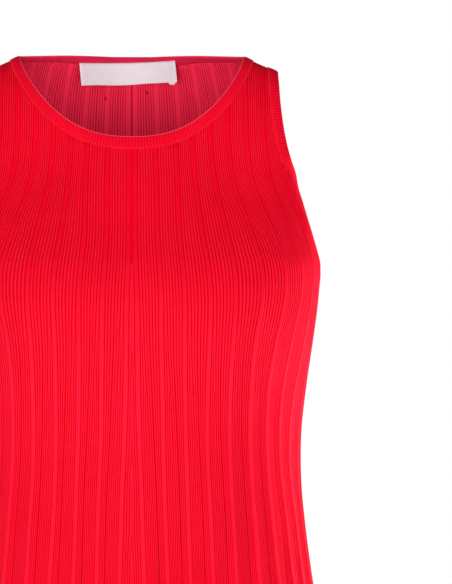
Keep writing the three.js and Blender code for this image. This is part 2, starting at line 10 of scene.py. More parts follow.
import bmesh
import bpy
import numpy as np
from mathutils import Vector, kdtree
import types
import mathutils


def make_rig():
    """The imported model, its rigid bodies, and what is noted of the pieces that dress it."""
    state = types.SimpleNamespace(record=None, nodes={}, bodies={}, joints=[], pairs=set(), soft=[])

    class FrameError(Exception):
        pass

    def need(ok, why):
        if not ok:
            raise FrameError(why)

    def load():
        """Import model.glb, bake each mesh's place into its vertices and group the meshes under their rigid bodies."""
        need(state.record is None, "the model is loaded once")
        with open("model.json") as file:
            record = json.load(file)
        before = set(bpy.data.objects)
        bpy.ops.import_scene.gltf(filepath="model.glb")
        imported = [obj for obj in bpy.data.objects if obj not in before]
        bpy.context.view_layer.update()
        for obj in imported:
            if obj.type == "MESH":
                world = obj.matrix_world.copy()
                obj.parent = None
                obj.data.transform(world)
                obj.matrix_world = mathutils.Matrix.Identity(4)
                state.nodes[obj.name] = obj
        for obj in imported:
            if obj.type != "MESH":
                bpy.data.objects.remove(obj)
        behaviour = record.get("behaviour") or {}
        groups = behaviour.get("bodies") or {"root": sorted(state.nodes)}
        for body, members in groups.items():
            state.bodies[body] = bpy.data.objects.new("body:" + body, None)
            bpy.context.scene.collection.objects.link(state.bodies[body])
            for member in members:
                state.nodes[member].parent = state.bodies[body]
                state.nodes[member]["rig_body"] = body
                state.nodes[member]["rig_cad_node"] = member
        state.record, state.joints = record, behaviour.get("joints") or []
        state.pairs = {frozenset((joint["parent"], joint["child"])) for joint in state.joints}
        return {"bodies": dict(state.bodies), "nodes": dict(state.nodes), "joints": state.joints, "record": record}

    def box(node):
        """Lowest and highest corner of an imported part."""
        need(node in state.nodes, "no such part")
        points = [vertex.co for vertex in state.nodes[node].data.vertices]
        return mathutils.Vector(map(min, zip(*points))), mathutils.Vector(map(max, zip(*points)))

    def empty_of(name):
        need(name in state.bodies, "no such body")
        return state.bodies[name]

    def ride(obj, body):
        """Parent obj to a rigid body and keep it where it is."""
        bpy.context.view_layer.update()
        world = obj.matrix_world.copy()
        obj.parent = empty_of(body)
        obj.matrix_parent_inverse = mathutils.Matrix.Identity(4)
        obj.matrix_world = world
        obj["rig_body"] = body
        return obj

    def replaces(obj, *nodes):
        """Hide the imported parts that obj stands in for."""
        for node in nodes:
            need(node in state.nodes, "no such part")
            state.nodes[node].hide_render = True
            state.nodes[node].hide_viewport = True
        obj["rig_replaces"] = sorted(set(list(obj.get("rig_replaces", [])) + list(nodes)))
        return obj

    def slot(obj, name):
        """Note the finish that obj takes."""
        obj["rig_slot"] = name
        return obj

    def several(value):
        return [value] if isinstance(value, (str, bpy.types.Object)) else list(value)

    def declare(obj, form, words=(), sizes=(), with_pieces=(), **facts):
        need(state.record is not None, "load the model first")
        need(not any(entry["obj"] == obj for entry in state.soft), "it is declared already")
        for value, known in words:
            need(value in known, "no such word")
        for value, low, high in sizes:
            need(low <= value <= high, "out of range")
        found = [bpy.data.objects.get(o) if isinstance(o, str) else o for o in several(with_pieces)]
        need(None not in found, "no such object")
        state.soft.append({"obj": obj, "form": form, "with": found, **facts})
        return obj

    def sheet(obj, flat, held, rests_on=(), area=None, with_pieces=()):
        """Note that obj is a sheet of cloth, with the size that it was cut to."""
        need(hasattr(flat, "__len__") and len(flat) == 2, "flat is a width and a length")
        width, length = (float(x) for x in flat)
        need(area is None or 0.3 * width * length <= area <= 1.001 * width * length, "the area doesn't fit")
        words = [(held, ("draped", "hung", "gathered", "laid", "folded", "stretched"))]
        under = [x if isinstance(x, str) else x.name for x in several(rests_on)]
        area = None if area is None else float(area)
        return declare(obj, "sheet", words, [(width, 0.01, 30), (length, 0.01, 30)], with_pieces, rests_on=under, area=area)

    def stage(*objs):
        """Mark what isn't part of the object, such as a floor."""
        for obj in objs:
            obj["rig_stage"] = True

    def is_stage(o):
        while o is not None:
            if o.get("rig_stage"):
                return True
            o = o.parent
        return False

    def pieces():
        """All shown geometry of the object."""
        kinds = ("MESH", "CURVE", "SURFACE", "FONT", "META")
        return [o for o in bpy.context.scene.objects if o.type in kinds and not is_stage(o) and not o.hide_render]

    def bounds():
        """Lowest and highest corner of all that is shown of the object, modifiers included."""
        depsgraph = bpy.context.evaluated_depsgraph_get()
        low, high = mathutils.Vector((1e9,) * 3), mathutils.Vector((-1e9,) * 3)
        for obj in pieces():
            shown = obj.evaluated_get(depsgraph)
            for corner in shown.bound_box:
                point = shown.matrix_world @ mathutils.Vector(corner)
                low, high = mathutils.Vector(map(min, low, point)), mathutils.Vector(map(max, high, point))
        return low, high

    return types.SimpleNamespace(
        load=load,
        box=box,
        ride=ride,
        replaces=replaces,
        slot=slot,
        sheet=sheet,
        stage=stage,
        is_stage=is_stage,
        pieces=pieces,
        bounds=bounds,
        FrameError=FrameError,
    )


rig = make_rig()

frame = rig.load()
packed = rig.bounds()
scene = bpy.context.scene

# ---- Sizes, in millimetres ----

FORM_WIDTH = 462.9  # of the front panel across the hem, as packed
front_low, front_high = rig.box("front")
MM = (front_high.x - front_low.x) / FORM_WIDTH

NECK_HALF = 98.3
NECK_DROP = 73
NECK_CURVE = {"across": 2.4, "down": 0.8}
BACK_NECK = {"rise": 4.3, "turns_from": 0.15, "turns_to": 0.65}
SLOPE = math.tan(math.radians(24.2))
SHOULDER_ROUND = 20
LENGTH = 840
CHEST = -70  # over this level the wales run straight up
YOKE = 107  # of cloth from the chest line to the shoulder, which the stitches are counted by
BUST_LEVEL = -184
WALES = 10.5  # repeats of the ribs from the centre line to a side seam
WIDE_RIBS = 11  # each side of the centre line
WALL = 1.6
SEAM_GAP = 0.3


def table(names, rows):
    """The columns of a short table, by name."""
    return dict(zip(names.split(), np.array(rows, float).T))


# How far the front and back stand out, by how far a point lies under the shoulder line.
DEPTHS = table("drop front back", [
    (0, 0, 0),
    (4, 14, 17),
    (10, 22.5, 28),
    (20, 31, 40),
    (40, 42, 55),
    (70, 51, 68),
    (100, 57, 76),
    (120, 64, 80),
    (150, 81, 84),
    (184, 99, 87),
    (215, 106, 86.5),
    (250, 104, 83.5),
    (290, 99, 79),
    (340, 95.5, 77.5),
    (380, 97, 81),
    (430, 102.5, 89.5),
    (520, 118, 107),
    (600, 132, 123),
    (700, 151, 144),
    (840, 177, 172),
])
# The form by level: half its width, how far its widest line lies forward, how square it is, how
# far the centre gore has opened and how deep the flutes are.
SECTIONS = table("z half forward power gore flute", [
    (-70, 145, 12, 2.6, 2.7, 0),
    (-99, 142.4, 22, 2.6, 2.7, 0),
    (-121, 145.2, 27, 2.6, 2.7, 0),
    (-142, 152.8, 24, 2.6, 2.7, 0),
    (-163, 159.6, 16, 2.6, 2.8, 0),
    (-184, 165, 8, 2.6, 3.2, 0),
    (-205, 163.8, 3, 2.6, 4.2, 0),
    (-247, 158.7, 0, 2.6, 4.8, 0),
    (-290, 152.4, 0, 2.5, 5.2, 0),
    (-332, 148.2, 0, 2.4, 6.4, 0.2),
    (-374, 148.3, 0, 2.3, 8.2, 0.6),
    (-416, 152.4, 0, 2.3, 9.2, 1.2),
    (-458, 158.2, 0, 2.3, 10.5, 2.2),
    (-520, 169, 0, 2.3, 12, 3.6),
    (-600, 184, 0, 2.3, 14, 5),
    (-700, 204, 0, 2.3, 16.5, 6.5),
    (-840, 231, 0, 2.3, 20, 8),
])
BUST = {"x": 82, "z": -212, "wide": 52, "high": 62, "out": 6}
# How far the body pushes the front's wales out from an even spacing, by level.
SHIFTS = table("z one two three four five six seven eight", [
    (-70, 1.4, 2.8, 1, 0.6, 0, 0, 0, 0),
    (-107, 1.4, 2.8, 1, 0.6, 0, 0, 0, 0),
    (-160, -1.2, -2, -1.6, 0, 2.6, 4, 3, 1.5),
    (-200, -0.8, -2, -1.1, 0.2, 4, 7, 6.6, 3),
    (-250, -0.3, -1, -0.6, -0.3, 0, 0.4, -1, -1),
    (-300, 1.2, 1.6, 2.2, 2.8, 2.7, 1, -2, -4),
    (-340, 1.6, 2.7, 3.3, 4.9, 5.4, 4.2, 1.4, -3),
    (-400, 1.2, 2.3, 3.2, 5.4, 7.2, 7.6, 7, 4),
    (-450, 0.4, 0.9, 1.7, 3.3, 5.6, 7, 6, 3),
    (-600, 0, 0, 0, 0.5, 1, 1, 1, 0.5),
    (-840, 0, 0, 0, 0, 0, 0, 0, 0),
])

# The ribs: height of a wide rib, of a narrow crest and depth of a groove over the plain form,
# the share of a repeat at which its fold lies, how deep a crease is cut there, and the tones.
# The tones are painted light and shade by level: the wide ribs' tops and the narrow crests are
# painted darker toward the chest, where less light falls.
RIBS = table("z wide crest groove fold_at crease flat_tone shade", [
    (-70, 0.35, 0.3, 0.38, 0.5, 0, 0.54, 0.8),
    (-150, 0.45, 0.34, 0.44, 0.5, 0, 0.58, 0.82),
    (-200, 0.65, 0.42, 0.52, 0.5, 0, 0.72, 0.9),
    (-250, 0.8, 0.46, 0.64, 0.51, 0.05, 0.92, 0.98),
    (-300, 0.8, 0.44, 0.68, 0.58, 0.15, 1.0, 0.97),
    (-350, 0.8, 0.4, 0.62, 0.64, 0.26, 0.94, 0.92),
    (-440, 0.8, 0.3, 0.5, 0.66, 0.34, 0.92, 0.88),
    (-600, 0.8, 0.24, 0.42, 0.66, 0.4, 0.92, 0.88),
    (-840, 0.8, 0.24, 0.42, 0.66, 0.4, 0.92, 0.88),
])
HALF_WIDE = 2.3  # half the width of a wide rib
# Corners of a rib, the groove before it first: share of its width, and of its height.
WIDE_RIB = [(0, 0), (0.08, 0.6), (0.18, 1), (0.82, 1), (0.92, 0.6)]
NARROW_RIB = [(0, 0), (0.3, 1), (0.7, 1)]
# How strong each groove of the repeat is, from the one beyond a wide rib to the one before it.
GROOVES = table("z inner0 inner1 inner2 outer0 outer1 outer2 wide", [
    (-70, 0.9, 1.1, 0.75, 0.6, 0.85, 1.1, 1.3),
    (-185, 0.9, 1.1, 0.75, 0.6, 0.85, 1.1, 1.3),
    (-220, 1, 1.1, 0.9, 0.6, 1, 1.1, 1.2),
    (-250, 1.2, 1.2, 0.8, 0.6, 1.1, 1.1, 1.2),
    (-300, 1.1, 1.1, 0.8, 1, 1, 1, 1.1),
    (-350, 1, 1, 0.9, 1.4, 1, 1, 1),
    (-840, 1, 0.9, 0.9, 1.5, 0.9, 0.9, 1),
])
# Levels at which a new rib starts, and its place in the zone.
NEW_INNER = [(-246, 1), (-291, 2), (-337, 3), (-383, 4), (-430, 5), (-490, 6), (-560, 7), (-705, 8)]
NEW_OUTER = [(-490, 1), (-630, 2), (-780, 3)]
NEW_GORE = [-180, -260, -337, -410, -490, -560, -630, -705, -780]
GORE_SPLITS = [-207, -294, -372, -445, -520, -595, -665, -740, -815]
NEW_SIDE = [(-291, 1), (-383, 2), (-490, 3), (-630, 4)]
FORK = {"swells_from": 34, "swell": 0.5, "splits_over": 3, "grows_over": 46}
CREASE_HALF = 0.8
# Where the flutes and their creases start early, under the bust.
EARLY_FLUTE = {"z": -325, "high": 70, "deep": 1.1}
EARLY_CREASE = {"z": -310, "high": 60, "deep": 0.5}
# The soft folds by the foot of each armhole: the wale each lies at, and how far it sinks in.
PULL = {"folds": ((7.8, 1.3), (8.3, -1.2), (8.75, 0.8)), "wide": 0.22, "z": -146, "high": 19}
WRONG_SIDE_LIGHT_AND_SHADE = (0.86, 0.02)  # the wrong side's crests and grooves: painted light on the crests, painted shade in the grooves
WRONG_SIDE = {"from": 96, "spread": 0.25, "lean": 0.0008, "bend": 1.6e-7, "fades": (70, 125)}
TACKS = [(-23.8, -32.2), (13.9, -26.7)]  # two small tacks on the back's wrong side
GORE_FOLD = table(
    "z at", [(-70, 1), (-330, 2.2), (-373, 3.4), (-416, 5.6), (-460, 7.8), (-520, 9), (-840, 13.6)]
)

NECKBAND = {"wide": 10.5, "at_shoulder": 8.4, "pitch": 2.8}
ARMBAND = {"wide": 9.6, "pitch": 2.7}
# Section of a folded band: share of the width from the seam, height off its middle, rib, and
# edge, which lays a painted highlight along the free edge.
BAND = table("across height rib edge", [
    (-0.08, 0.1, 0, 0),
    (0.06, 0.62, 0.7, 0),
    (0.25, 0.85, 1, 0),
    (0.5, 1.0, 1, 0),
    (0.75, 0.9, 1, 0),
    (0.88, 0.74, 0.6, 0),
    (0.92, 0.6, 0.1, 0.4),
    (0.965, 0.72, 0.1, 1),
    (0.995, 0.4, 0, 1),
    (1.0, -0.1, 0, 0.8),
    (0.98, -0.7, 0, 0.4),
    (0.9, -1.1, 0.3, 0),
    (0.6, -1.38, 0.7, 0),
    (0.3, -1.5, 0.7, 0),
    (0.0, -1.6, 0, 0),
])
ARMHOLE = [
    # level, how far out or how far back, and which of the two it states
    (None, 119.8, "front"),
    (-22, 119.8, "front"),
    (-45, 121.2, "front"),
    (-70, 124.6, "front"),
    (-95, 131.2, "front"),
    (-119, -30, "side"),
    (-142, -21, "side"),
    (-163, -11, "side"),
    (-176, 3, "side"),
    (-169, 17, "side"),
    (-149, 31, "side"),
    (-118, 40, "side"),
    (-82, 122.5, "back"),
    (-48, 121, "back"),
    (-22, 120.4, "back"),
]
NECK_STATIONS, ARM_STATIONS = 1440, 900  # points round a seam as it is worked out
CUT_REACH = 2.4  # a cutter goes this many times as far from its apex as the seam lies
NECK_AXIS = {"apex": (0, 0, -60), "cap": (0, 0, 320)}
ARM_AXIS = {"apex": (60, 0, -95), "cap": (420, 0, -40)}
BAND_RIB = 0.2  # height of a band's ribs
STITCH = {"pitch": 1.65, "long": 1.9, "thick": 0.62}
STITCH["rings"] = [(-0.5, 0.35), (-0.3, 0.9), (0.3, 0.9), (0.5, 0.35)]  # share of length, size
SIDE_STITCH = {"from": -188, "pitch": 2.3, "long": 1.7}
LABEL = {"left": -46.9, "right": 38.6, "slant": 2.0, "high_left": 20.4, "high_right": 19.3}
LABEL |= {"hang": -1.0, "tilt": 0.03, "thick": 0.5, "off": 2.2, "lean": 1.6, "tab": 2.2}
LABEL |= {"wide": 86, "tall": 19, "columns": 64, "lines": 14}
LABEL_STITCH = {"count": 33, "pitch": 2.55, "long": 1.7, "below": 1.1}

# ---- The form ----


def smooth(value, low, high):
    t = np.clip((value - low) / (high - low), 0, 1)
    return t * t * (3 - 2 * t)


def hump(value, middle, wide):
    """1 at the middle, falling away smoothly on both sides."""
    return np.exp(-(((value - middle) / wide) ** 2))


def through(rows, key, column, shape=lambda v: v):
    """A smooth curve through one column of a table, by another that rises or falls."""
    xs, ys = shape(rows[key]), rows[column]
    if xs[0] > xs[-1]:
        xs, ys = xs[::-1], ys[::-1]
    gaps = np.diff(xs)
    rises = np.diff(ys) / gaps
    inner = (rises[:-1] * gaps[1:] + rises[1:] * gaps[:-1]) / (gaps[:-1] + gaps[1:])
    slopes = np.concatenate([rises[:1], inner, rises[-1:]])

    def at(value):
        x = np.clip(shape(np.asarray(value, float)), xs[0], xs[-1])
        i = np.clip(np.searchsorted(xs, x, side="right") - 1, 0, len(gaps) - 1)
        s = (x - xs[i]) / gaps[i]
        rise = s * s * (3 - 2 * s)
        bend = gaps[i] * s * (1 - s) * (slopes[i] * (1 - s) - slopes[i + 1] * s)
        return ys[i] * (1 - rise) + ys[i + 1] * rise + bend

    return at


def root(value):
    return np.sqrt(np.maximum(value, 0))


depth_of = {face: through(DEPTHS, "drop", face, root) for face in ("front", "back")}
half_at, forward_at, power_at, gore_at, flute_at = (
    through(SECTIONS, "z", column) for column in ("half", "forward", "power", "gore", "flute")
)
shifts_at = [through(SHIFTS, "z", column) for column in list(SHIFTS)[1:]]
wide_at, crest_at, groove_at, fold_at, crease_at, wide_rib_painted_light_at, shade_at = (
    through(RIBS, "z", column) for column in list(RIBS)[1:]
)
gore_fold_at = through(GORE_FOLD, "z", "at")


def shoulder_line(x):
    return SLOPE * (math.hypot(NECK_HALF, SHOULDER_ROUND) - np.hypot(x, SHOULDER_ROUND))


def drop_under(x, z):
    return np.maximum(shoulder_line(x) * smooth(z, BUST_LEVEL, CHEST) - z, 0)


def bust_at(x, z):
    return hump(np.abs(x), BUST["x"], BUST["wide"]) * hump(z, BUST["z"], BUST["high"])


def face_y(face, x, z):
    """Depth of the front or back face at a point of the front elevation."""
    x, z = np.asarray(x, float), np.asarray(z, float)
    low = np.minimum(z, CHEST)
    power = power_at(low)
    share = np.minimum(np.abs(x) / half_at(low), 1)
    around = (1 - share**power) ** (1 / power)
    middle = -forward_at(low)
    depth = depth_of[face](drop_under(x, low))
    if face == "back":
        y = middle + (depth - middle) * around
    else:
        y = middle - (depth + middle) * around - BUST["out"] * bust_at(x, low) * around
    ratio = depth_of[face](drop_under(x, z)) / depth_of[face](drop_under(x, CHEST))
    return np.where(z > CHEST, y * ratio, y)


SECTION_STEPS = 160
sections = {}


def section(face, z):
    """Half of a level section, centre to side seam: x, y and the length of cloth up to each."""
    key = (face, round(float(z), 4))
    if key not in sections:
        place = np.arange(2 * SECTION_STEPS)
        x = half_at(z) * np.sin(place / SECTION_STEPS * math.pi / 2) ** 0.8
        other = "back" if face == "front" else "front"
        y = np.where(place <= SECTION_STEPS, face_y(face, x, z), face_y(other, x, z))
        end = np.nonzero(y * (1 if face == "front" else -1) > 0)[0][0]
        part = y[end - 1] / (y[end - 1] - y[end])
        x = np.append(x[:end], x[end - 1] + (x[end] - x[end - 1]) * part)
        y = np.append(y[:end], 0)
        run = np.concatenate([[0], np.cumsum(np.hypot(np.diff(x), np.diff(y)))])
        sections[key] = (x, y, run)
    return sections[key]


def along(face, z, run):
    x, y, runs = section(face, z)
    length = np.abs(run)
    return np.sign(run) * np.interp(length, runs, x), np.interp(length, runs, y)


def way_of(z):
    return 1 + (CHEST - z) / (LENGTH + CHEST)


def level_of(way):
    """The level of a way under the chest line, and the chest line's for any way above it."""
    return CHEST - max(way - 1, 0) * (LENGTH + CHEST)


def form_point(face, run, way):
    """Points of the form: way is 0 at the shoulder line, 1 at the chest line, 2 at the hem."""
    if way > 1:
        z = level_of(way)
        x, y = along(face, z, run)
        return np.stack([x, y, np.full_like(x, z)], -1)
    x, y = along(face, CHEST, run)
    chest_drop = drop_under(x, CHEST)
    drop = way * way * chest_drop
    depth = y * depth_of[face](drop) / depth_of[face](chest_drop)
    return np.stack([x, depth, shoulder_line(x) - drop], -1)


def unit(vectors):
    return vectors / np.maximum(np.linalg.norm(vectors, axis=-1, keepdims=True), 1e-12)


def form_normal(face, run, way):
    """The form's normal: outward, from points a small step apart along it and down it."""
    step, fall = 0.4, 5e-4
    across = form_point(face, run + step, way) - form_point(face, run - step, way)
    down = form_point(face, run, way + fall) - form_point(face, run, way - fall)
    normal = unit(np.cross(down, across))
    return normal if face == "front" else -normal


def wale_run(face, wale, z):
    """Length of cloth from the centre to a wale, at a level."""
    gore = gore_at(z)
    seam = section(face, z)[2][-1]
    shift = 0.0
    if face == "front":
        shifts = [0, *(at(z) for at in shifts_at), 0]
        shift = np.interp(wale, [*range(len(shifts) - 1), WALES], shifts)
    return min(gore + wale / WALES * (seam - gore) + shift, seam - SEAM_GAP / 2)


# ---- The knitted panels ----


def knit_order(count, new):
    """Ribs of a zone in their order, as (name, level at which each starts)."""
    order = [(name, 0) for name in range(count)]
    for name, (level, place) in enumerate(new, start=count):
        order.insert(place, (name, level))
    return order


def opened(z):
    """The gore's ribs at a level: each starts on the centre line, so the newest comes first."""
    started = [(name, level) for name, level in enumerate(NEW_GORE) if z <= level][::-1]
    return [[name, 0.05 + 0.95 * smooth(level - z, 0, 30)] for name, level in started]


INNER = knit_order(3, NEW_INNER)
OUTER = knit_order(3, NEW_OUTER)
SIDE = knit_order(3, NEW_SIDE)


def grown(order, z):
    """Those ribs that have started at a level, each with its width. A rib swells over the place
    where it forks, splits within a few millimetres, and the two halves grow to full width.
    """
    found = []
    for name, level in order:
        past = level - z
        if not level:
            found.append([name, 1.0])
        elif past < 0:
            found[-1][1] += FORK["swell"] * smooth(past, -FORK["swells_from"], 0)
        else:
            pair = 1 + FORK["swell"] + (1 - FORK["swell"]) * smooth(past, 0, FORK["grows_over"])
            share = 0.04 + 0.46 * smooth(past, 0, FORK["splits_over"])
            found[-1][1] += pair * (1 - share) - 1
            found.append([name, pair * share])
    return found


def centre_crest(z):
    """1 where a new rib runs down the centre line, 0 where a groove does."""
    spans = zip(NEW_GORE, GORE_SPLITS)
    return sum(smooth(start - z, 0, 8) * smooth(z - split, 0, 8) for start, split in spans)


groove_by = {name: through(GROOVES, "z", name) for name in list(GROOVES)[1:]}


def strength(name, z):
    """How strong a groove is at a level; a new rib's groove is as strong as the third inner one."""
    return groove_by.get(name, groove_by["inner2"])(z)


# Painted shade: a groove's tone, darker the stronger the groove is.
def painted_groove_shade(strong):
    return 0.35 - 0.8 * strong


def lay_ribs(z, key, start, end, ribs):
    """Columns of the narrow ribs between two runs of cloth, each rib with the groove before it."""
    crest, groove, shade = crest_at(z), groove_at(z), shade_at(z)
    total = sum(size for _, size in ribs)
    laid, at = [], start
    for name, size in ribs:
        full = min(1, 2 * size)
        strong = full * strength(f"{key[0]}{name}", z)
        wide = (end - start) * size / total
        for corner, (share, high) in enumerate(NARROW_RIB):
            lift = crest * full if high else -groove * strong
            # A crest takes the level's painted light and shade, a groove the painted groove shade.
            tone = 1.02 * shade if high else painted_groove_shade(strong)
            laid.append([(*key, name, corner), at + share * wide, lift, tone])
        at += wide
    return laid


def knit_columns(face, level):
    """Columns of one half at a level, from the centre: name, run, lift, and tone: painted light and shade."""
    z = min(level, CHEST)
    wide, crest, groove, flat = wide_at(z), crest_at(z), groove_at(z), wide_rib_painted_light_at(z)
    wales = [wale_run(face, wale, z) for wale in range(WIDE_RIBS)]
    seam = section(face, z)[2][-1] - SEAM_GAP / 2
    up = centre_crest(z)
    # The centre column: painted light where a crest runs down it, painted shade where a groove does.
    columns = [["centre", 0.0, (groove + crest) * up - groove * 0.4, 0.5 + 0.4 * up]]
    columns += lay_ribs(z, ("gore",), 0.0, wales[0] - HALF_WIDE, opened(z))[1:]
    early = EARLY_CREASE["deep"] * hump(z, EARLY_CREASE["z"], EARLY_CREASE["high"])
    for k in range(WIDE_RIBS):
        strong = strength("wide", z)
        if k == 0:  # the two ribs at the centre lie close, until the gore opens between them
            strong *= 0.25 + 0.75 * smooth(-z, 175, 200)
        for corner, (share, high) in enumerate(WIDE_RIB):
            run = wales[k] + (2 * share - 1) * HALF_WIDE
            height = wide * high if corner else -groove * strong
            # Painted light on the wide rib's top, painted shade down its flanks and in its groove.
            tone = flat * (0.4 + 0.6 * high) if corner else painted_groove_shade(strong)
            columns.append([("wide", k, corner), run, height, tone])
        start = wales[k] + HALF_WIDE
        if k == WIDE_RIBS - 1:
            columns += lay_ribs(z, ("side", k), start, seam, grown(SIDE, z))
            break
        middle = wales[k] + fold_at(z) * (wales[k + 1] - wales[k])
        deep = max(crease_at(z), 0) * (1 + early * smooth(k, 2, 6))
        half = CREASE_HALF * smooth(deep, -0.2, 1.2) + 0.05
        columns += lay_ribs(z, ("inner", k), start, middle - half, grown(INNER, z))
        for corner, share in enumerate((0.7, 1)):
            run = middle - half * (1 - corner)
            # Painted shade: the crease is painted darker the deeper it is cut.
            dark = painted_groove_shade(strength("outer0", z)) - 0.5 * deep * share
            columns.append([("crease", k, corner), run, -groove - deep * share, dark])
        end = wales[k + 1] - HALF_WIDE
        outer = lay_ribs(z, ("outer", k), middle + half, end, grown(OUTER, z))
        outer[0][2] -= 0.7 * deep
        # Painted shade on the column beside the crease.
        outer[0][3] -= 0.35 * deep
        columns += outer
    columns.append([("seam",), seam, -0.3, 0.2])
    return columns, wales


def flute_fold(columns, wales, z):
    """How far each column sinks into the fold between two wide ribs, as a share."""
    runs = np.array([column[1] for column in columns])
    fold = fold_at(z)
    edges = np.array([*wales, wales[-1] + (wales[-1] - wales[-2])])
    k = np.clip(np.searchsorted(edges, runs, side="right") - 1, 0, len(edges) - 2)
    share = (runs - edges[k]) / (edges[k + 1] - edges[k])
    sunk = np.interp(share, [0, 0.18, fold, (1 + fold) / 2, 1], [0, 0.15, 1, 0.4, 0])
    in_gore = runs < wales[0]
    middle = gore_fold_at(z)
    gore_sunk = np.interp(runs, [0, middle, max(wales[0], middle + 1)], [0, 0.6, 0])
    flute = flute_at(z)
    early = EARLY_FLUTE["deep"] * hump(z, EARLY_FLUTE["z"], EARLY_FLUTE["high"]) * smooth(k, 1, 6)
    pull = sum(deep * hump(k + share, at, PULL["wide"]) for at, deep in PULL["folds"])
    pull *= hump(z, PULL["z"], PULL["high"])
    return np.where(in_gore, gore_sunk * flute, sunk * (flute + early) + pull)


def wander(run, z):
    """The slight unevenness of hand-steamed ribs."""
    a = np.sin(run / 13 + z / 37 + 1.3) * np.sin(z / 61 + run / 71)
    b = np.sin(run / 29 - z / 23 + 0.4)
    return 0.28 * a + 0.16 * b


def wrong_run(run, z):
    """Where a rib of the back's wrong side lies: eased apart below the neck, and fanned out."""
    above = np.maximum(z + WRONG_SIDE["from"], 0)
    lean = WRONG_SIDE["lean"] * above + WRONG_SIDE["bend"] * above**3
    spread = WRONG_SIDE["spread"] * smooth(above, 0, 30)
    return run * (1 + (spread - lean) * (1 - smooth(np.abs(run), *WRONG_SIDE["fades"])))


def panel_row(face, way):
    """Both walls of one row of a panel, from side seam to side seam."""
    level = level_of(way)
    columns, wales = knit_columns(face, level)
    place = np.arange(1 - len(columns), len(columns))
    order, side = np.abs(place), np.where(place < 0, -1, 1)
    names = [(int(half), columns[i][0]) if i else "centre" for half, i in zip(side, order)]
    runs, raised, tones = np.array([column[1:] for column in columns], float)[order].T
    runs = runs * side
    free = smooth(runs[-1] - np.abs(runs), 0, 12) * smooth(np.abs(runs), 2, 10)
    runs = runs + wander(runs + (0 if face == "front" else 500), level) * free
    point = form_point(face, runs, way)
    normal = form_normal(face, runs, way)
    uneven = 1 + 0.16 * np.sin(runs / 7.3 + level / 41) * np.sin(level / 29 + runs / 17)
    lift = raised * uneven * smooth(way, 0.0015, 0.12)
    sunk = flute_fold(columns, wales, level)[order][:, None]
    base = point - normal * sunk
    wrong, inward = base, normal
    if face == "back":
        eased = wrong_run(runs, point[:, 2])
        inward = form_normal(face, eased, way)
        wrong = form_point(face, eased, way) - inward * sunk
    return {
        "names": names,
        "outer": base + normal * lift[:, None],
        "inner": wrong - inward * (WALL + 0.5 * lift)[:, None],
        "tones": tones,
        # The wrong side's tones: painted light on the crests, painted shade in the grooves.
        "wrong_light_and_shade": np.where(raised > 0, *WRONG_SIDE_LIGHT_AND_SHADE),
        "runs": runs,
        "level": (1 - way) * YOKE if way <= 1 else level - CHEST,
    }


def knit_ways():
    yoke = np.sqrt(np.maximum(np.linspace(0, 1, 19) ** 1.45, 2e-6))
    starts = {level for level, _ in NEW_INNER + NEW_OUTER + NEW_SIDE} | set(NEW_GORE)
    plain = [*np.arange(-77, -470, -7.7), *np.arange(-472, -834, -16.5), -836.5]
    starts |= {start - FORK["splits_over"] for start in starts}
    levels = [z for z in plain if all(abs(z - start) > 2.5 for start in starts)]
    levels = sorted([*levels, *starts, -LENGTH], reverse=True)
    return [*yoke, *(way_of(z) for z in levels)]


def plain_name(name):
    """Whether a column is one of the few that a plain stretch of the wrong side keeps."""
    if name == "centre" or name[1][0] == "seam":
        return True
    kind, rib, corner = name[1][0], name[1][-2], name[1][-1]
    return (
        (kind == "wide" and corner in (2, 3))
        or (kind == "outer" and (rib, corner) == (0, 0))
        or (kind == "gore" and corner == 0)
    )


class Cloth:
    """Vertices with their tone, side and place in the cloth, and the faces between them."""

    def __init__(self):
        self.points, self.marks, self.faces = [], [], []

    def row(self, points, tones, side, runs, level):
        start = len(self.points)
        self.points.extend(points.tolist())
        self.marks.extend((tone, side, run, level) for tone, run in zip(tones, runs))
        return list(range(start, len(self.points)))

    def grid(self, names, rows):
        """Faces between rows of named vertices; a name may be missing from a row."""
        for upper, lower, above, below in zip(rows, rows[1:], names, names[1:]):
            places = {name: i for i, name in enumerate(below)}
            shared = [(i, places[name]) for i, name in enumerate(above) if name in places]
            for (a, c), (b, d) in zip(shared, shared[1:]):
                top, bottom = upper[a : b + 1], lower[c : d + 1]
                if len(top) == 2 and len(bottom) == 2:
                    self.faces.append((top[0], bottom[0], bottom[1], top[1]))
                else:
                    for p, q in zip(bottom, bottom[1:]):
                        self.faces.append((top[-1], p, q))
                    for p, q in zip(top, top[1:]):
                        self.faces.append((bottom[0], q, p))

    def strip(self, first, first_at, second, second_at):
        """Faces between two edges, each given with its vertices' places along it."""
        i = j = 0
        ends = len(first) - 1, len(second) - 1
        while (i, j) != ends:
            if j == ends[1] or (i < ends[0] and first_at[i + 1] <= second_at[j + 1]):
                self.faces.append((first[i], first[i + 1], second[j]))
                i += 1
            else:
                self.faces.append((first[i], second[j + 1], second[j]))
                j += 1


def new_object(name, points, faces):
    """An object in metres, from points in millimetres."""
    mesh = bpy.data.meshes.new(name)
    mesh.from_pydata((np.asarray(points) * MM).tolist(), [], faces)
    mesh.validate()
    bm = bmesh.new()
    bm.from_mesh(mesh)
    bmesh.ops.recalc_face_normals(bm, faces=bm.faces)
    bm.to_mesh(mesh)
    bm.free()
    obj = bpy.data.objects.new(name, mesh)
    scene.collection.objects.link(obj)
    return obj


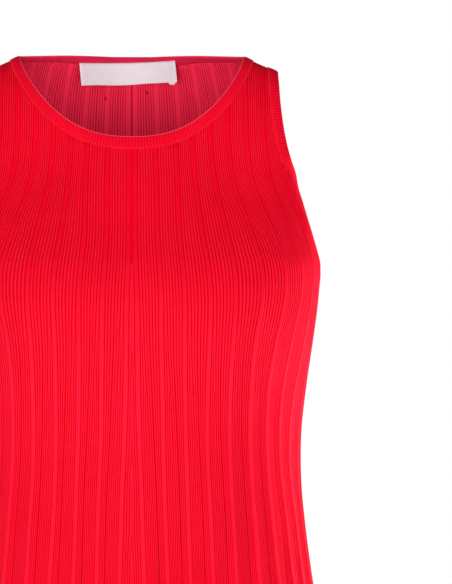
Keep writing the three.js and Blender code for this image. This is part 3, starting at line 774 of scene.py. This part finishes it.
def set_marks(obj, values):
    """Per-vertex marks that the materials read: tone, which carries the painted light and shade,
    and side, and the place in the cloth.
    """
    mesh = obj.data
    tones, sides, runs, levels = np.array(values, np.float32).T
    place = np.stack([runs, levels, 0 * runs], -1)
    for name, part in (("tone", tones), ("side", sides)):
        mesh.attributes.new(name, "FLOAT", "POINT").data.foreach_set("value", part.copy())
    cloth = mesh.attributes.new("cloth", "FLOAT_VECTOR", "POINT")
    cloth.data.foreach_set("vector", place.ravel())
    mesh.polygons.foreach_set("use_smooth", np.ones(len(mesh.polygons), bool))
    mesh.update()


def cut(obj, cutters):
    """Takes the cutters out of obj."""
    for cutter in cutters:
        modifier = obj.modifiers.new("cut", "BOOLEAN")
        modifier.operation = "DIFFERENCE"
        modifier.solver = "MANIFOLD"
        modifier.object = cutter
    evaluated = obj.evaluated_get(bpy.context.evaluated_depsgraph_get())
    mesh = bpy.data.meshes.new_from_object(evaluated)
    obj.modifiers.clear()
    obj.data = mesh


def build_panel(face, cutters):
    """A knitted panel with the neck and armholes cut out. Its wrong side is as fine as its right
    side only at the top of the back, where it shows.
    """
    ways = knit_ways()
    rows = [panel_row(face, way) for way in ways]
    cloth = Cloth()
    outer = [cloth.row(row["outer"], row["tones"], 0, row["runs"], row["level"]) for row in rows]
    names = [row["names"] for row in rows]
    cloth.grid(names, outer)
    fine_to = way_of(-WRONG_SIDE["from"]) if face == "back" else 0
    inner, inner_names, inner_ways = [], [], []
    for i, (way, row) in enumerate(zip(ways, rows)):
        fine = way <= fine_to
        if not fine and i % 3 and i != len(rows) - 1:
            continue
        keep = [j for j, name in enumerate(row["names"]) if fine or plain_name(name)]
        points, tones, runs = (row[part][keep] for part in ("inner", "wrong_light_and_shade", "runs"))
        inner.append(cloth.row(points, tones, 1, runs, row["level"]))
        inner_names.append([row["names"][j] for j in keep])
        inner_ways.append(way)
    cloth.grid(inner_names, inner)
    points = np.array(cloth.points)
    run_of = [mark[2] for mark in cloth.marks]
    for a, b in ((outer[0], inner[0]), (outer[-1], inner[-1])):
        cloth.strip(a, [run_of[i] for i in a], b, [run_of[i] for i in b])
    for end in (0, -1):
        side, side_in = [line[end] for line in outer], [line[end] for line in inner]
        cloth.strip(side, ways, side_in, inner_ways)
    obj = new_object(face + "_knit", points, cloth.faces)
    cut(obj, cutters)
    # each vertex that is left takes the marks of the nearest one of the uncut cloth
    tree = kdtree.KDTree(len(points))
    for i, point in enumerate(points * MM):
        tree.insert(point, i)
    tree.balance()
    marks = np.array(cloth.marks)
    nearest = [tree.find(vertex.co)[1] for vertex in obj.data.vertices]
    set_marks(obj, marks[nearest])
    return obj


# ---- Edges and bands ----


def neck_edges(angle):
    """The neck seam and the free edge of its band at angles from the centre front."""
    seam_half = NECK_HALF + NECKBAND["at_shoulder"] * math.cos(math.atan(SLOPE))
    seam_end = shoulder_line(seam_half)
    across, front = np.sin(angle), np.cos(angle) > 1e-9
    end = np.abs(across) > 1 - 1e-9

    def scoop(x, half):
        share = np.minimum(np.abs(x) / half, 1)
        return (1 - share ** NECK_CURVE["across"]) ** NECK_CURVE["down"]

    seam_x, free_x = seam_half * across, NECK_HALF * across
    low = NECK_DROP + NECKBAND["wide"] + seam_end
    front_seam_z = seam_end - low * scoop(seam_x, seam_half)
    front_free_z = -NECK_DROP * scoop(free_x, NECK_HALF)
    middle = 1 - across**2
    wide = NECKBAND["at_shoulder"] + (NECKBAND["wide"] - NECKBAND["at_shoulder"]) * middle
    back_free_z = BACK_NECK["rise"] * middle
    turn = smooth(np.abs(across), BACK_NECK["turns_from"], BACK_NECK["turns_to"])
    back_seam_z = back_free_z - wide * (1 - turn * (1 + seam_end / NECKBAND["at_shoulder"]))
    back_seam_y = face_y("back", seam_x, back_seam_z)
    lean = wide**2 - (back_free_z - back_seam_z) ** 2 - (free_x - seam_x) ** 2
    back_free_y = back_seam_y - root(lean)

    def edge(x, front_z, back_y, back_z):
        y = np.where(front, face_y("front", x, front_z), back_y)
        return np.stack([x, np.where(end, 0, y), np.where(front | end, front_z, back_z)], -1)

    seam = edge(seam_x, front_seam_z, back_seam_y, back_seam_z)
    return seam, edge(free_x, front_free_z, back_free_y, back_free_z)


def side_x(y, z):
    """How far out the form lies at a level and a depth."""
    forward = forward_at(z)
    face = "front" if y < -forward else "back"
    low, high = 0.0, half_at(z)
    for _ in range(40):
        middle = (low + high) / 2
        if abs(face_y(face, middle, z) + forward) > abs(y + forward):
            low = middle
        else:
            high = middle
    return low


def form_normal_near(point):
    """The form's normal at a point of it."""
    x, y, z = point
    level = min(z, CHEST)
    face = "front" if y < 0 else "back"
    xs, ys, runs = section(face, level)
    way, scale = way_of(z), 1
    if z > CHEST:
        way = root(drop_under(x, z) / drop_under(x, CHEST))
        scale = face_y(face, x, CHEST) / (face_y(face, x, z) or 1)
    best = max(np.argmin(np.hypot(xs - x, ys - y * scale)), 1)
    run = np.array([min(runs[best], runs[-1] - 0.5)])
    return form_normal(face, run, max(way, 0.0015))[0]


def closed_curve(knots, count):
    """Points evenly spaced along a closed centripetal curve through the knots."""
    before, start, end, after = (np.roll(knots, turn, axis=0) for turn in (1, 0, -1, -2))
    pairs = ((before, start), (start, end), (end, after))
    first, gap, last = (np.sqrt(np.linalg.norm(b - a, axis=1))[:, None] for a, b in pairs)
    leaves = (start - before) / first - (end - before) / (first + gap) + (end - start) / gap
    meets = (end - start) / gap - (after - start) / (gap + last) + (after - end) / last
    leaves, meets = leaves * gap, meets * gap
    bend, twist = 3 * (end - start) - 2 * leaves - meets, 2 * (start - end) + leaves + meets
    s = np.linspace(0, 1, 60, endpoint=False)[:, None]
    terms = enumerate((start, leaves, bend, twist))
    fine = sum(term[:, None] * s**power for power, term in terms)
    return evenly(fine.reshape(-1, 3), count)[0]


def evenly(loop, count, *companions):
    """A closed loop at even steps, and its companions at the same places."""
    loops = [np.vstack([each, each[:1]]) for each in (loop, *companions)]
    steps = np.linalg.norm(np.diff(loops[0], axis=0), axis=1)
    length = np.concatenate([[0], np.cumsum(steps)])
    at = np.linspace(0, length[-1], count, endpoint=False)
    return [np.stack([np.interp(at, length, part) for part in each.T], -1) for each in loops]


def loop_length(loop):
    return float(np.linalg.norm(np.roll(loop, -1, axis=0) - loop, axis=1).sum())


def arm_edges(count):
    knots = []
    for z, value, face in ARMHOLE:
        if z is None:
            knots.append((value, 0, shoulder_line(value)))
        elif face == "side":
            knots.append((side_x(value, z), value, z))
        else:
            knots.append((value, face_y(face, value, z), z))
    seam = closed_curve(np.array(knots, float), count)
    hole = seam.mean(0)
    normal = unit(np.array([form_normal_near(point) for point in seam]))
    toward = unit(np.cross(tangent_of(seam), normal))
    toward *= np.sign(np.sum(toward * (hole - seam), axis=1))[:, None]
    # the section's normal turns in small steps, so the direction is evened out along the edge
    for _ in range(6):
        toward = unit(toward + np.roll(toward, 1, axis=0) + np.roll(toward, -1, axis=0))
    return seam, seam + toward * ARMBAND["wide"]


def build_cutter(name, seam, axis, mirror=1):
    """A cone through the seam, pointed at both ends."""
    apex, cap = (np.array(axis[end], float) * (mirror, 1, 1) for end in ("apex", "cap"))
    ring = apex + (seam * (mirror, 1, 1) - apex) * CUT_REACH
    faces = []
    for i in range(len(ring)):
        a, b = i + 2, (i + 1) % len(ring) + 2
        faces += [(0, a, b), (1, b, a)]
    return new_object(name, np.vstack([apex, cap, ring]), faces)


def tangent_of(loop):
    return unit(np.roll(loop, -1, axis=0) - np.roll(loop, 1, axis=0))


def band_normal(seam, free, axis):
    """The outward normal of a band at each place along its seam."""
    normal = unit(np.cross(free - seam, tangent_of(seam)))
    outward = np.sign(np.sum(normal * (seam - np.array(axis["apex"], float)), axis=1))
    return normal * outward[:, None]


def build_band(name, seam, free, axis, mirror=1):
    """A folded rib band: three stations to a rib, and a section that rolls at the free edge."""
    count = len(seam)
    across = free - seam
    normal = band_normal(seam, free, axis)
    station = np.arange(count)[:, None]
    crest = np.where(station % 3 == 0, -1.0, 0.8)
    uneven = 1 + 0.18 * np.sin(station / 11.0) * np.sin(station / 27.0 + 1)
    u, height, rib, edge = BAND.values()
    lift = height + crest * uneven * BAND_RIB * rib * np.where(height > 0, 1, -1)
    points = seam[:, None] + across[:, None] * u[:, None] + normal[:, None] * lift[..., None]
    # Painted highlight along the free edge; painted light and shade on the ribs' crests and grooves.
    tone = 1.6 * edge + (1 - edge) * (0.6 + 0.3 * crest * rib)
    run = station * loop_length(seam) / count
    marks = np.stack(np.broadcast_arrays(tone, height < -0.2, run, u * 10), -1)
    spot = np.arange(lift.size).reshape(lift.shape)
    ahead = np.roll(spot, -1, axis=0)
    faces = np.stack([spot, np.roll(spot, -1, 1), np.roll(ahead, -1, 1), ahead], -1)
    points = points.reshape(-1, 3) * (mirror, 1, 1)
    obj = new_object(name, points, faces.reshape(-1, 4).tolist())
    set_marks(obj, marks.reshape(-1, 4))
    return obj


# By default the stitches are painted lighter than the band and touched with the painted edge highlight: painted light
# on their ridges.
def build_stitches(name, places, tone=1.16, side=0.0):
    """One joined mesh of small rounded stitches, each made of rings of points from end to end.
    Places hold a stitch's centre, direction, normal and length.
    """
    turn = np.arange(6) * math.pi / 3
    spot = np.arange(len(STITCH["rings"]) * 6).reshape(-1, 6)
    ahead = np.roll(spot, -1, axis=1)
    around = np.stack([spot[:-1], ahead[:-1], ahead[1:], spot[1:]], -1).reshape(-1, 4)
    points, faces = [], []
    for centre, direction, normal, long in places:
        faces += [(len(points) + face).tolist() for face in (spot[0, ::-1], spot[-1], *around)]
        ring = np.outer(np.cos(turn), np.cross(direction, normal))
        ring += np.outer(np.sin(turn) * 0.8, normal)
        for share, size in STITCH["rings"]:
            points += [*(centre + direction * long * share + ring * STITCH["thick"] / 2 * size)]
    obj = new_object(name, points, faces)
    set_marks(obj, [(tone, side, i % spot.size, 0.0) for i in range(len(points))])
    return obj


def linking(seam, free, axis, mirror=1):
    """Stitches laid over a band's seam, from the panel to the band."""
    count = round(loop_length(seam) / STITCH["pitch"])
    seam, free = evenly(seam, count, free)
    across = unit(free - seam)
    normal = band_normal(seam, free, axis)
    slant = 0.28 * np.where(np.arange(count) % 2, 1, -1)[:, None]
    lean = unit(across + tangent_of(seam) * slant)
    centre = seam + normal * 0.75 + across * 0.1
    flip = np.array((mirror, 1, 1))
    return [(*place, STITCH["long"]) for place in zip(centre * flip, lean * flip, normal * flip)]


def side_linking(side):
    """Stitches down a side seam, from under the armhole to the hem."""
    places = []
    lean = unit(np.array([0.0, 1.0, 0.35]))
    for z in np.arange(SIDE_STITCH["from"], 2 - LENGTH, -SIDE_STITCH["pitch"]):
        x, lower = section("front", z)[0][-1], section("front", z - 2)[0][-1]
        down = unit(np.array([side * (lower - x), 0, -2.0]))
        normal = unit(np.array([side, 0, down[0] * side]))
        centre = np.array([side * (x - 0.8 * flute_at(z) + 0.1), 0, z])
        places.append((centre, lean, normal, SIDE_STITCH["long"]))
    return places


def shell_faces(columns, lines):
    """Faces of two layers of a grid of points, and of the rim that joins them."""
    spot = np.arange(2 * (columns + 1) * (lines + 1)).reshape(2, columns + 1, lines + 1)
    quads = [spot[:, :-1, :-1], spot[:, 1:, :-1], spot[:, 1:, 1:], spot[:, :-1, 1:]]
    ends = [spot[:, :-1, 0], spot[:, -1, :-1], spot[:, :0:-1, -1], spot[:, 0, :0:-1]]
    rim = np.concatenate(ends, axis=1)
    ahead = np.roll(rim, -1, axis=1)
    around = np.stack([rim[0], rim[1], ahead[1], ahead[0]], -1)
    return np.stack(quads, -1).reshape(-1, 4).tolist() + around.tolist()


def build_label(neck_seam, neck_free):
    """A blank satin label: sewn along its top, folded under at both ends, slightly wavy."""
    back = neck_seam[:, 1] > 1
    order = np.argsort(neck_seam[back][:, 0])
    low, high = neck_seam[back][order], neck_free[back][order]

    def top_at(x):
        return LABEL["hang"] + x * LABEL["tilt"]

    left, right, columns, lines = (LABEL[name] for name in ("left", "right", "columns", "lines"))
    across = np.linspace(left - 2, right + 4, 41)
    a, b = (np.array([np.interp(across, low[:, 0], x) for x in edge.T]) for edge in (low, high))
    upright = (b[2] - a[2]) / np.linalg.norm(b - a, axis=0)
    depths = a[1] + (b[1] - a[1]) * (top_at(across) - a[2]) / (b[2] - a[2]) - LABEL["off"] / upright
    depth_at = np.polynomial.Polynomial.fit(across, depths, 4)  # the satin bridges small dips
    share, fall = np.mgrid[0 : columns + 1, 0 : lines + 1] / np.reshape([columns, lines], (2, 1, 1))
    x = left + share * (right - left) + LABEL["slant"] * fall
    tall = LABEL["high_left"] + share * (LABEL["high_right"] - LABEL["high_left"])
    wave = np.sin(share * 7.5 + 0.6) * 0.55 + np.sin(share * 17) * 0.18
    y = depth_at(x) - fall * LABEL["lean"] - wave * fall**2
    tab = LABEL["tab"] * smooth(share, 0.915, 0.925) * (1 - smooth(share, 0.975, 0.985))
    z = top_at(x) - tall * fall + 0.25 * np.sin(share * 11) * fall - tab * fall**12
    from_end = np.minimum(share, 1 - share)
    from_edge = np.minimum(from_end * LABEL["wide"], np.minimum(fall, 1 - fall) * LABEL["tall"])
    thick = LABEL["thick"] * (1.8 - 0.8 * smooth(from_end, 0.045, 0.052))
    thick *= 0.35 + 0.65 * smooth(from_edge, 0, 0.8)
    points = np.stack([[x, y - thick, z], [x, y, z]]).transpose(0, 2, 3, 1).reshape(-1, 3)
    place = np.broadcast_arrays(0.9, 0.0, share * LABEL["wide"], fall * LABEL["tall"])
    marks = np.stack(place, -1).reshape(-1, 4)
    label = new_object("label_blank", points, shell_faces(columns, lines))
    set_marks(label, np.tile(marks, (2, 1)))
    sewn = []
    for i in range(LABEL_STITCH["count"]):
        x = left + 2 + i * LABEL_STITCH["pitch"]
        y = depth_at(x) - LABEL["thick"] - 0.05
        at = np.array([x, y, top_at(x) - LABEL_STITCH["below"]])
        sewn.append((at, np.array([1, 0, 0.03]), np.array([0, -1, 0]), LABEL_STITCH["long"]))
    return label, build_stitches("label_stitches", sewn, tone=1.0)


def tacks():
    """Two small tacks on the wrong side of the back, each a wedge of close stitches."""
    places = []
    for x, z in TACKS:
        for row in range(5):
            y = float(face_y("back", x, z)) - WALL - 0.5
            at = np.array([x, y, z + 1.5 - 0.7 * row])
            places.append((at, np.array([1.0, 0, 0]), np.array([0, -1.0, 0]), 0.9 + 0.5 * row))
    return places


# ---- Materials ----


class Nodes:
    """Short names for the nodes of a new material or world."""

    def __init__(self, owner):
        owner.use_nodes = True
        self.owner, self.tree = owner, owner.node_tree
        self.shader = self.tree.nodes.get("Principled BSDF")

    def link(self, source, target):
        if isinstance(source, (int, float)):
            target.default_value = source
        elif isinstance(source, tuple):
            target.default_value = (*source, 1)
        else:
            self.tree.links.new(source, target)

    def add(self, kind, inputs, output=0, **settings):
        """A new node with its settings, and its inputs set or linked; gives one of its outputs."""
        node = self.tree.nodes.new("ShaderNode" + kind)
        for name, value in settings.items():
            setattr(node, name, value)
        for socket, value in inputs.items():
            self.link(value, node.inputs[socket])
        return node.outputs[output]

    def math(self, operation, *values):
        return self.add("Math", dict(enumerate(values)), operation=operation)

    def scaled(self, value, times, plus=0.0):
        return self.math("MULTIPLY_ADD", value, times, plus)

    def mark(self, name, output="Fac"):
        return self.add("Attribute", {}, output, attribute_name=name)

    def mix(self, factor, a, b):
        return self.add("Mix", {0: factor, 6: a, 7: b}, 2, data_type="RGBA", clamp_factor=True)

    def noise(self, vector, scale, detail=2.0):
        return self.add("TexNoise", {"Vector": vector, "Scale": scale, "Detail": detail}, "Fac")

    def part(self, vector, axis):
        return self.add("SeparateXYZ", {0: vector}, axis)

    def bump(self, height, strength, distance):
        sockets = {"Height": height, "Strength": strength, "Distance": distance}
        self.set(Normal=self.add("Bump", sockets))

    def set(self, **values):
        """Sets or links the shader's own inputs."""
        for name, value in values.items():
            self.link(value, self.shader.inputs[name.replace("_", " ")])


def stitch_height(nodes, place, wale, course):
    """The V of each knitted stitch, from the place in the cloth in millimetres."""
    across = nodes.math("FRACT", nodes.math("DIVIDE", nodes.part(place, "X"), wale))
    slant = nodes.math("ABSOLUTE", nodes.scaled(across, 2.0, -1.0))
    down = nodes.scaled(slant, 0.55, nodes.math("DIVIDE", nodes.part(place, "Y"), course))
    return nodes.math("SINE", nodes.math("MULTIPLY", down, 2 * math.pi))


def knit_material(name, dark, mid, light, edge, reverse, wale, course, rough):
    """Rib knit: painted shade in the grooves and creases, painted light on the crests, a painted
    highlight where the tone passes 1.1, and pinker on the wrong side.
    """
    nodes = Nodes(bpy.data.materials.new(name))
    tone, side = nodes.mark("tone"), nodes.mark("side")
    place = nodes.mark("cloth", "Vector")
    slub = nodes.noise(place, 0.09, 3.0)
    patch = nodes.noise(place, 0.013, 1.0)
    uneven = nodes.scaled(patch, 0.15, nodes.scaled(slub, 0.2, tone))
    shade = nodes.math("SUBTRACT", uneven, (0.15 + 0.2) / 2)
    # Painted light and shade: low tones run to the dark colour, high tones to the light one.
    low = nodes.mix(nodes.scaled(shade, 2.0), dark, mid)
    colour = nodes.mix(nodes.scaled(shade, 2.0, -1.0), low, light)
    # The wrong side's ramp: painted shade in its grooves, lighter on its crests.
    inside = nodes.mix(nodes.math("ADD", shade, 0.1), *reverse)
    # Painted highlight: tones over 1.1 mix toward the edge colour.
    bound = nodes.mix(nodes.scaled(tone, 2.2, -2.42), colour, edge)
    height = stitch_height(nodes, place, wale, course)
    fuzz = nodes.noise(place, 2.4)
    nodes.bump(nodes.math("ADD", height, fuzz), 0.35, 0.00012)
    nodes.set(Base_Color=nodes.mix(side, bound, inside), Roughness=rough, Specular_IOR_Level=0.03)
    nodes.set(Sheen_Weight=0.03, Sheen_Roughness=0.4, Sheen_Tint=(1.0, 0.3, 0.38))
    return nodes.owner


def satin_material():
    """Woven satin: fine cross threads with a soft gloss."""
    nodes = Nodes(bpy.data.materials.new("label_satin"))
    place = nodes.mark("cloth", "Vector")
    x, y = nodes.part(place, "X"), nodes.part(place, "Y")
    weft = nodes.math("SINE", nodes.math("MULTIPLY", y, 2 * math.pi / 0.32))
    warp = nodes.math("SINE", nodes.math("MULTIPLY", nodes.math("ADD", x, y), 2 * math.pi / 0.9))
    cloud = nodes.noise(place, 0.16, 3.0)
    colour = nodes.mix(cloud, (0.74, 0.665, 0.705), (0.79, 0.72, 0.76))
    nodes.bump(nodes.scaled(warp, 0.5, weft), 0.3, 0.00006)
    nodes.set(Base_Color=colour, Roughness=0.48, Specular_IOR_Level=0.4)
    nodes.set(Sheen_Weight=0.1, Sheen_Roughness=0.4)
    return nodes.owner


def stage_material(name, colour):
    nodes = Nodes(bpy.data.materials.new(name))
    speck = nodes.noise(nodes.add("TexCoord", {}, "Object"), 3.0)
    dim = tuple(0.985 * part for part in colour)
    nodes.set(Base_Color=nodes.mix(speck, dim, colour), Roughness=0.9)
    return nodes.owner


# ---- The dress ----


def place_piece(obj, material, slot, replaces=()):
    """Gives a piece its material and slot, its body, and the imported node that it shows."""
    obj.data.materials.clear()
    obj.data.materials.append(material)
    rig.ride(obj, "root")
    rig.slot(obj, slot)
    if replaces:
        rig.replaces(obj, *replaces)
    return obj


angles = np.linspace(0, 2 * math.pi, NECK_STATIONS, endpoint=False)
neck_seam, neck_free = neck_edges(angles)
arm_seam, arm_free = arm_edges(ARM_STATIONS)
rough_neck, rough_arm = evenly(neck_seam, NECK_STATIONS // 6)[0], arm_seam[::5]
cutters = [
    build_cutter("neck_cut", rough_neck, NECK_AXIS),
    build_cutter("arm_cut_left", rough_arm, ARM_AXIS),
    build_cutter("arm_cut_right", rough_arm, ARM_AXIS, -1),
]

# dark, mid and light paint the shade in grooves and creases and the light on crests; edge is a painted highlight;
# reverse runs from the wrong side's painted groove shade to its crests.
rib_knit = knit_material(
    "rib_knit",
    dark=(0.7, 0.0, 0.004),
    mid=(0.88, 0.0, 0.018),
    light=(0.92, 0.011, 0.04),
    edge=(0.96, 0.03, 0.07),
    reverse=((0.4, 0.0, 0.006), (0.9, 0.026, 0.082)),
    wale=1.25,
    course=0.95,
    rough=0.72,
)
# The band paints the same light and shade; edge is the painted highlight along its free edge, and reverse, for its
# inner face, is darker than the panel's.
band_knit = knit_material(
    "band_knit",
    dark=(0.62, 0.0, 0.006),
    mid=(0.85, 0.0, 0.016),
    light=(0.95, 0.008, 0.036),
    edge=(1.0, 0.1, 0.14),
    reverse=((0.42, 0.003, 0.03), (0.74, 0.018, 0.07)),
    wale=1.1,
    course=0.9,
    rough=0.7,
)
satin = satin_material()

front = place_piece(build_panel("front", cutters), rib_knit, "rib_knit", ["front"])
back = place_piece(build_panel("back", cutters), rib_knit, "rib_knit", ["back"])
for cutter in cutters:
    bpy.data.objects.remove(cutter)

neck_ribs = round(loop_length(neck_seam) / NECKBAND["pitch"])
band = build_band("neckband_knit", *evenly(neck_seam, neck_ribs * 3, neck_free), NECK_AXIS)
neckband = place_piece(band, band_knit, "band_knit", ["neckband"])
stitches = build_stitches("neck_linking", linking(neck_seam, neck_free, NECK_AXIS))
neck_links = place_piece(stitches, band_knit, "band_knit")

arm_ribs = round(loop_length(arm_seam) / ARMBAND["pitch"])
arm_edge = evenly(arm_seam, arm_ribs * 3, arm_free)
armbands = []
for name, mirror in (("left", 1), ("right", -1)):
    band = build_band(f"armband_{name}_knit", *arm_edge, ARM_AXIS, mirror)
    place_piece(band, band_knit, "band_knit", [f"armband_{name}"])
    stitches = build_stitches(f"arm_linking_{name}", linking(arm_seam, arm_free, ARM_AXIS, mirror))
    armbands.append((band, place_piece(stitches, band_knit, "band_knit")))
    stitches = build_stitches(f"side_linking_{name}", side_linking(mirror), tone=0.4)
    place_piece(stitches, rib_knit, "rib_knit")

place_piece(build_stitches("back_tacks", tacks(), -0.6, 1.0), rib_knit, "rib_knit")
label, label_stitches = build_label(neck_seam, neck_free)
place_piece(label, satin, "label_satin", ["neck_label"])
place_piece(label_stitches, satin, "label_satin")

# The cut: each piece as it lies flat, in metres. The panels' area is stated as well, since they
# widen from the shoulders to the hem.
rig.sheet(front, flat=(0.66, 0.84), area=0.365, held="hung", rests_on=["shoulders"])
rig.sheet(back, flat=(0.65, 0.85), area=0.365, held="hung", rests_on=["shoulders"])
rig.sheet(
    neckband, flat=(0.58, 0.0105), held="hung", rests_on=["front", "back"], with_pieces=[neck_links]
)
for band, stitches in armbands:
    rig.sheet(
        band, flat=(0.4, 0.01), held="hung", rests_on=["front", "back"], with_pieces=[stitches]
    )
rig.sheet(
    label, flat=(0.094, 0.019), held="hung", rests_on=["neckband"], with_pieces=[label_stitches]
)

# ---- Stage, light and camera ----

UNDER_HEM = 0.35
floor_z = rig.bounds()[0].z - UNDER_HEM
bpy.ops.mesh.primitive_plane_add(size=9, location=(0, 0, floor_z))
floor = bpy.context.object
floor.name = "floor"
floor.data.materials.append(stage_material("floor", (0.9, 0.9, 0.9)))
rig.stage(floor)

scene.world = bpy.data.worlds.new("studio")
nodes = Nodes(scene.world)
lit = nodes.add("Background", {0: (1, 1, 1), 1: 0.24})
seen = nodes.add("Background", {0: (1, 1, 1), 1: 1.0})
by_camera = nodes.add("LightPath", {}, "Is Camera Ray")
both = nodes.add("MixShader", {0: by_camera, 1: lit, 2: seen})
nodes.link(both, nodes.tree.nodes["World Output"].inputs[0])


def aim(obj, place, target):
    obj.location = place
    obj.rotation_euler = (Vector(target) - Vector(place)).to_track_quat("-Z", "Y").to_euler()


def soft_light(name, place, target, size, power, colour=(1, 1, 1)):
    """A rectangular studio lamp that points at a target."""
    data = bpy.data.lights.new(name, "AREA")
    data.shape = "RECTANGLE"
    data.size, data.size_y = size
    data.energy = power
    data.color = colour
    lamp = bpy.data.objects.new(name, data)
    scene.collection.objects.link(lamp)
    aim(lamp, place, target)
    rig.stage(lamp)
    return lamp


soft_light("key", (-0.8, -2.6, -0.5), (0, 0, -0.4), (1.6, 1.6), 48)
soft_light("fill", (1.3, -2.4, -0.4), (0, 0, -0.4), (1.4, 1.6), 20)
soft_light("rim_right", (1.7, 0.8, -1.3), (0.1, 0, -0.65), (0.5, 0.9), 180, (1, 0.85, 0.9))
soft_light("rim_left", (-1.7, 0.9, -0.1), (-0.1, 0, -0.4), (0.5, 1.6), 12)

# A small reflector inside the neck.
inside = soft_light("neck_fill", (-0.03, -0.03, -0.06), (-0.02, 0.1, -0.06), (0.16, 0.03), 0.026)
inside.visible_camera = False

FRAME_HIGH = 0.5139  # what the camera's view spans in height at the plane of the shoulders
FRAME_MIDDLE = (0.0829, 0, -0.2068)
DISTANCE = 2.6
camera_data = bpy.data.cameras.new("camera")
camera = bpy.data.objects.new("camera", camera_data)
scene.collection.objects.link(camera)
camera_data.lens = camera_data.sensor_width * DISTANCE / FRAME_HIGH
aim(camera, (0, -DISTANCE, FRAME_MIDDLE[2]), FRAME_MIDDLE)
camera_data.clip_start, camera_data.clip_end = 0.05, 60
bpy.context.scene.camera = camera
scene.view_settings.view_transform = "Standard"
scene.view_settings.look = "None"

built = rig.bounds()
with open("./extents.json", "w") as file:
    json.dump({"packed": [list(v) for v in packed], "built": [list(v) for v in built]}, file)
